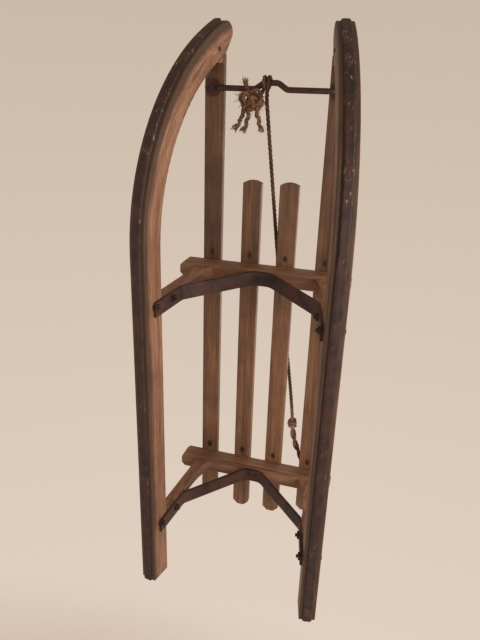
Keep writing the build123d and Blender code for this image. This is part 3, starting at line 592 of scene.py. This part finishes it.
class SLED_OT_tie_front_knot(bpy.types.Operator):
    """Wrap the rope round the bar's hump and tie it in a frayed knot behind it"""
    bl_idname = "sled.tie_front_knot"
    bl_label = "Tie the front knot"

    def execute(self, context):
        settings = context.scene.sled_rope
        chance = random.Random(7)
        rope = RopeMesh()
        round_bar = [
            (-12.0, -377.0, 211.2), (-11.6, -386, 208.6), (-10.5, -396, 205.3),
            (-9.5, -404, 203.6), (-9.3, -412.5, 204.6), (-9.3, -416.4, 211),
            (-9.3, -415, 219), (-9.6, -407.5, 222.4), (-11.5, -399.4, 220.2),
            (-13.5, -397.2, 212.5), (-15.2, -400, 205.2), (-16.6, -408, 203.6),
            (-17, -415.4, 207), (-17, -416, 217), (-17.2, -409, 222.2), (-18.5, -400, 220.6),
            (-22, -392, 214), (-27, -385, 207), (-33, -379, 203),
        ]
        rope.rope(smooth_line(round_bar), settings.diameter, settings.lay)
        middle = Vector((-36.5, -379.0, 204.5))
        loops = [(20.0, 14.0, 0.15, 0.20, 0.0, (0, 0, -2)),
                 (16.0, 12.5, -0.55, 0.25, 0.9, (-6, 3, 2)),
                 (17.0, 10.5, 0.50, -0.45, 2.1, (3, -2, 1)),
                 (13.0, 9.0, 0.10, 0.60, 0.4, (-3, 1, -6)),
                 (9.5, 15.0, -0.20, -0.60, 1.4, (7, 2, -1)),
                 (12.0, 12.0, 0.75, 0.15, 2.8, (-9, -2, -2)),
                 (10.5, 11.0, -0.35, 0.30, 4.0, (8, -1, -3)),
                 (8.0, 7.0, -0.15, 0.10, 0.2, (-4, -2, -9)),
                 (7.5, 6.5, 0.25, -0.10, 1.2, (6, 1, -8)),
                 (4.5, 4.0, 0.0, 0.20, 2.2, (1, 0, -11))]
        for a, b, tilt_x, tilt_y, turn, shift in loops:
            spin = Matrix.Rotation(tilt_x, 3, "X") @ Matrix.Rotation(tilt_y, 3, "Y")
            spin = spin @ Matrix.Rotation(turn, 3, "Z")
            ring = []
            for i in range(11):
                angle = math.tau * i / 9.2
                swell = 1 + 0.12 * math.sin(2 * angle + turn)
                local = Vector((a * swell * math.cos(angle), b * swell * math.sin(angle),
                                2.2 * math.sin(1.5 * angle)))
                ring.append(tuple(middle + Vector(shift) + spin @ local))
            rope.rope(smooth_line(ring), settings.diameter * 0.82, settings.lay * 0.75,
                      turn=turn)
        tails = [
            [(-42, -374, 201), (-50, -365, 199), (-49, -356, 202), (-56, -348, 204),
             (-56, -340, 203), (-65, -335, 206), (-69, -328, 206)],
            [(-37, -372, 199), (-41, -362, 197.5), (-38, -354, 200), (-45, -346, 202),
             (-42, -339, 203), (-50, -333, 205), (-53, -326, 206)],
            [(-27, -374, 201), (-23, -366, 199), (-27, -357, 199.5), (-20, -350, 201),
             (-23, -342, 203), (-17, -336, 205), (-19, -328, 206)],
        ]
        for tail, share in zip(tails, (0.6, 0.66, 0.7)):
            frayed_tail(rope, chance, tail, settings, share)
        wisp = [(-44, -392, 209), (-46, -401, 206), (-49, -409, 206), (-50, -415, 209)]
        frayed_tail(rope, chance, wisp, settings, 0.1)
        for i in range(settings.fuzz):
            away = Vector([chance.gauss(0, 1) for _ in range(3)]).normalized()
            start = (middle + Vector((away.x * 18, away.y * 13, away.z * 9))) * MM
            yarn = i % 5 == 0
            hair(rope, chance, start, away, chance.uniform(5, 12) * MM,
                 (0.6 if yarn else 0.28) * MM)
        piece = rope.to_object("front_knot", hemp_material(context))
        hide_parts("rope_front_knot")
        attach(piece, "root")
        return {"FINISHED"}


class SLED_OT_tie_overhand_knot(bpy.types.Operator):
    """Tie the overhand knot that gathers the doubled end of the rope"""
    bl_idname = "sled.tie_overhand_knot"
    bl_label = "Tie the overhand knot"

    def execute(self, context):
        settings = context.scene.sled_rope
        chance = random.Random(3)
        rope = RopeMesh()
        middle = Vector((67.9, 236.0, 230.0))
        ahead = Vector((4.0, 48.0, -1.0)).normalized()
        across = ahead.cross(Vector((0, 0, 1))).normalized()
        up = across.cross(ahead)
        points = []
        # Two and a bit turns round the rope, then a riding turn back across them
        for i in range(20):
            angle = math.tau * i / 8.0
            radius = 6.4 - 0.8 * (i in (0, 19))
            along = -8.0 + 16.0 * i / 19
            points.append(tuple(middle + ahead * along + across * radius * math.cos(angle)
                                + up * radius * math.sin(angle)))
        rope.rope(smooth_line(points), settings.diameter * 0.86, settings.lay * 0.8)
        rider = [middle + ahead * 9 + across * 3.0 - up * 4.0,
                 middle + ahead * 6 - across * 1.0 - up * 9.0,
                 middle - across * 6.5 - up * 8.2,
                 middle - ahead * 7 - across * 7.5 - up * 1.5,
                 middle - ahead * 10 - across * 2.0 + up * 2.5]
        rope.rope(smooth_line([tuple(p) for p in rider]), settings.diameter * 0.8,
                  settings.lay * 0.8)
        for _ in range(24):
            away = Vector([chance.gauss(0, 1) for _ in range(3)]).normalized()
            hair(rope, chance, (middle + away * 8) * MM, away, chance.uniform(2, 5) * MM,
                 0.15 * MM)
        piece = rope.to_object("overhand_knot", hemp_material(context))
        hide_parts("rope_tail_knot")
        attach(piece, "root")
        return {"FINISHED"}


class SLED_OT_tie_hitch(bpy.types.Operator):
    """Hitch the doubled rope round the right outer slat, behind the rear beam"""
    bl_idname = "sled.tie_hitch"
    bl_label = "Tie the hitch"

    def execute(self, context):
        settings = context.scene.sled_rope
        rope = RopeMesh()
        low_x, high_x, low_z, high_z = 85.4, 127.2, 214.1, 234.9
        corner = 4.0
        points = [(104.0, 362.0, 235.2)]
        turns, first_y, pitch = 2, 366.5, 7.2
        ring = [(high_x - corner, high_z), (high_x, high_z), (high_x, high_z - corner),
                (high_x, low_z + corner), (high_x, low_z), (high_x - corner, low_z),
                (low_x + corner, low_z), (low_x, low_z), (low_x, low_z + corner),
                (low_x, high_z - corner), (low_x, high_z), (low_x + corner, high_z)]
        for turn in range(turns):
            for i, (x, z) in enumerate(ring):
                y = first_y + pitch * (turn + i / len(ring))
                points.append((x, y, z))
        points += [(100.0, 380.5, 235.4), (112.0, 381.5, 235.0), (122.0, 385.0, 234.6)]
        rope.rope(smooth_line(points), settings.diameter, settings.lay)
        chance = random.Random(11)
        end = Vector(points[-1]) * MM
        for _ in range(26):
            away = Vector((chance.uniform(0.5, 1), chance.uniform(-0.4, 0.6),
                           chance.uniform(-0.1, 0.4))).normalized()
            hair(rope, chance, end, away, chance.uniform(4, 10) * MM, 0.3 * MM)
        piece = rope.to_object("slat_hitch", hemp_material(context))
        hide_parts("rope_hitch")
        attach(piece, "root")
        return {"FINISHED"}


class SLED_OT_lay_pull_rope(bpy.types.Operator):
    """Lay the pull rope from the bar, over the seat, to its hitch on the outer slat"""
    bl_idname = "sled.lay_pull_rope"
    bl_label = "Lay the pull rope"

    def execute(self, context):
        settings = context.scene.sled_rope
        line, lengths = evenly(smooth_line(ROPE_ROUTE, 40), 1.5 * MM)
        knot = min(range(len(line)), key=lambda i: abs(line[i].y - 236 * MM))
        flat = min(range(len(line)), key=lambda i: abs(line[i].y - 318 * MM))
        main, back = [], []
        for i, point in enumerate(line):
            ahead = (line[min(i + 1, len(line) - 1)] - line[max(i - 1, 0)]).normalized()
            across = ahead.cross(Vector((0, 0, 1))).normalized()
            up = across.cross(ahead)
            open_up = min(1.0, max(0.0, (lengths[i] - lengths[knot]) / (12 * MM)))
            left = min(1.0, max(0.0, (lengths[flat] - lengths[i])
                                / (lengths[flat] - lengths[knot])))
            angle = math.tau * 1.5 * left
            aside = (across * math.cos(angle) + up * math.sin(angle)) * 2.9 * MM * open_up
            main.append(point + aside)
            if i >= knot:
                back.append(point - aside)
        rope = RopeMesh()
        rope.rope(main, settings.diameter, settings.lay)
        piece = rope.to_object("pull_rope", hemp_material(context))
        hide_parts("rope")
        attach(piece, "root")
        doubled = RopeMesh()
        doubled.rope(back, settings.diameter * 0.95, settings.lay)
        leg = doubled.to_object("doubled_leg", hemp_material(context))
        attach(leg, "root")
        return {"FINISHED"}


# ----------------------------------------------------------------------- stage
CAMERA_PLACE = Vector((0.23249, -0.39982, -0.78428))
CAMERA_RIGHT = Vector((0.95923, -0.03056, 0.28098))
CAMERA_UP = Vector((-0.13239, -0.92692, 0.35113))
# The floor is an upright oval that the sled's tail stands on. It ends at the soles'
# level, so that it hides nothing from behind.
FLOOR_MIDDLE = (0.0, 0.504, -0.3)
FLOOR_SIZE = (1.6, 0.6)


def pale_sheet(name, settings):
    """Plain matt cotton, pale and without gloss."""
    material, tree, shader = new_material(name)
    place = add(tree, "ShaderNodeTexCoord").outputs["Object"]
    cloth = add(tree, "ShaderNodeTexNoise", place, inputs={"Scale": 6.0, "Detail": 2.0})
    cloth = add(tree, "ShaderNodeValToRGB", cloth,
                stops=[(0.3, tuple(0.97 * c for c in settings.sheet)), (0.7, settings.sheet)])
    tree.links.new(cloth.outputs[0], shader.inputs["Base Color"])
    shader.inputs["Roughness"].default_value = 0.95
    shader.inputs["Specular IOR Level"].default_value = 0.1
    # The sheet thins out towards its edges, so that it has no rim.
    oval = add(tree, "ShaderNodeMapping", place,
               inputs={"Location": (0.0, 0.0, -FLOOR_MIDDLE[2] * 2 / FLOOR_SIZE[1]),
                       "Scale": (2 / FLOOR_SIZE[0], 0.0, 2 / FLOOR_SIZE[1])})
    away = add(tree, "ShaderNodeVectorMath", oval, operation="LENGTH").outputs["Value"]
    solid = add(tree, "ShaderNodeMapRange", away,
                inputs={"From Min": 1.0, "From Max": 0.35}, interpolation_type="SMOOTHSTEP")
    tree.links.new(solid.outputs[0], shader.inputs["Alpha"])
    return material


class SLED_OT_set_stage(bpy.types.Operator):
    """Set the camera, the soft lights and the plain pale floor"""
    bl_idname = "sled.set_stage"
    bl_label = "Set the stage"

    def execute(self, context):
        settings = context.scene.sled_stage
        scene = context.scene
        scene.view_settings.view_transform = "Standard"
        lens = bpy.data.cameras.new("camera")
        lens.lens = settings.lens
        lens.sensor_width = 36.0
        lens.clip_start = 0.01
        camera = bpy.data.objects.new("camera", lens)
        right, up = CAMERA_RIGHT, CAMERA_UP
        back = right.cross(up)
        turn = Matrix((right, up, back)).transposed().to_4x4()
        camera.matrix_world = Matrix.Translation(CAMERA_PLACE) @ turn
        scene.collection.objects.link(camera)
        scene.camera = camera

        world = bpy.data.worlds.new("soft_room")
        world.use_nodes = True
        room = world.node_tree
        background = room.nodes["Background"]
        background.inputs["Strength"].default_value = settings.room_strength
        # The room is a little darker towards the sled's bow than towards its tail.
        way = add(room, "ShaderNodeTexCoord").outputs["Generated"]
        along = add(room, "ShaderNodeSeparateXYZ", way).outputs[1]
        shade = add(room, "ShaderNodeMapRange", along,
                    inputs={"From Min": -0.6, "From Max": 0.8})
        dim = tuple(c * t for c, t in zip(settings.room, (0.68, 0.65, 0.60)))
        tone = add(room, "ShaderNodeValToRGB", shade, stops=[(0.0, dim), (1.0, settings.room)])
        room.links.new(tone.outputs[0], background.inputs["Color"])
        scene.world = world

        place = CAMERA_PLACE
        aim = Vector((0.0, 0.05, 0.15))
        lamps = [("key", place + right * 1.6 - up * 0.3 + back * 0.6, 1.2,
                  settings.key_power, (1.0, 0.95, 0.88)),
                 ("fill", place - right * 0.9 - up * 0.2, 0.9,
                  settings.key_power * 0.04, (1.0, 0.97, 0.94)),
                 ("top", Vector((0.3, 0.2, 1.4)), 1.0,
                  settings.key_power * 0.15, (1.0, 0.97, 0.93))]
        for name, where, width, power, colour in lamps:
            lamp = bpy.data.lights.new(name, "AREA")
            lamp.size = width
            lamp.energy = power
            lamp.color = colour
            light = bpy.data.objects.new(name, lamp)
            light.location = where
            light.rotation_euler = (aim - where).to_track_quat("-Z", "Y").to_euler()
            scene.collection.objects.link(light)

        bpy.ops.object.select_all(action="DESELECT")
        bpy.ops.mesh.primitive_plane_add(size=1.0, location=(0, 0, 0))
        floor = context.object
        floor.name = "floor"
        floor.data.transform(Matrix.Translation(FLOOR_MIDDLE)
                             @ Matrix.Rotation(math.radians(90), 4, "X")
                             @ Matrix.Diagonal((*FLOOR_SIZE, 1.0, 1.0)))
        floor.data.materials.append(pale_sheet("cotton_sheet", settings))
        return {"FINISHED"}


class SLED_PT_panel(bpy.types.Panel):
    bl_label = "Sled"
    bl_idname = "SLED_PT_panel"
    bl_space_type = "VIEW_3D"
    bl_region_type = "UI"
    bl_category = "Sled"

    def draw(self, context):
        layout = self.layout
        for step in STEPS:
            layout.operator(step.bl_idname)
        for name in SETTINGS:
            group = getattr(context.scene, name)
            for key in type(group).__annotations__:
                layout.prop(group, key)


STEPS = (SLED_OT_set_stage, SLED_OT_tie_front_knot, SLED_OT_tie_overhand_knot,
         SLED_OT_tie_hitch, SLED_OT_lay_pull_rope, SLED_OT_finish_wood, SLED_OT_finish_iron)
SETTINGS = {"sled_wood": SledWoodSettings, "sled_iron": SledIronSettings,
            "sled_rope": SledRopeSettings, "sled_stage": SledStageSettings}


def register():
    for name, group in SETTINGS.items():
        bpy.utils.register_class(group)
        setattr(bpy.types.Scene, name, PointerProperty(type=group))
    for step in STEPS:
        bpy.utils.register_class(step)
    bpy.utils.register_class(SLED_PT_panel)


def unregister():
    bpy.utils.unregister_class(SLED_PT_panel)
    for step in reversed(STEPS):
        bpy.utils.unregister_class(step)
    for name, group in reversed(SETTINGS.items()):
        delattr(bpy.types.Scene, name)
        bpy.utils.unregister_class(group)


def main():
    register()
    bpy.ops.sled.set_stage()
    bpy.ops.sled.tie_front_knot()
    bpy.ops.sled.tie_overhand_knot()
    bpy.ops.sled.tie_hitch()
    bpy.ops.sled.lay_pull_rope()
    bpy.ops.sled.finish_wood()
    bpy.ops.sled.finish_iron()
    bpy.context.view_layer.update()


if __name__ == "__main__":
    main()
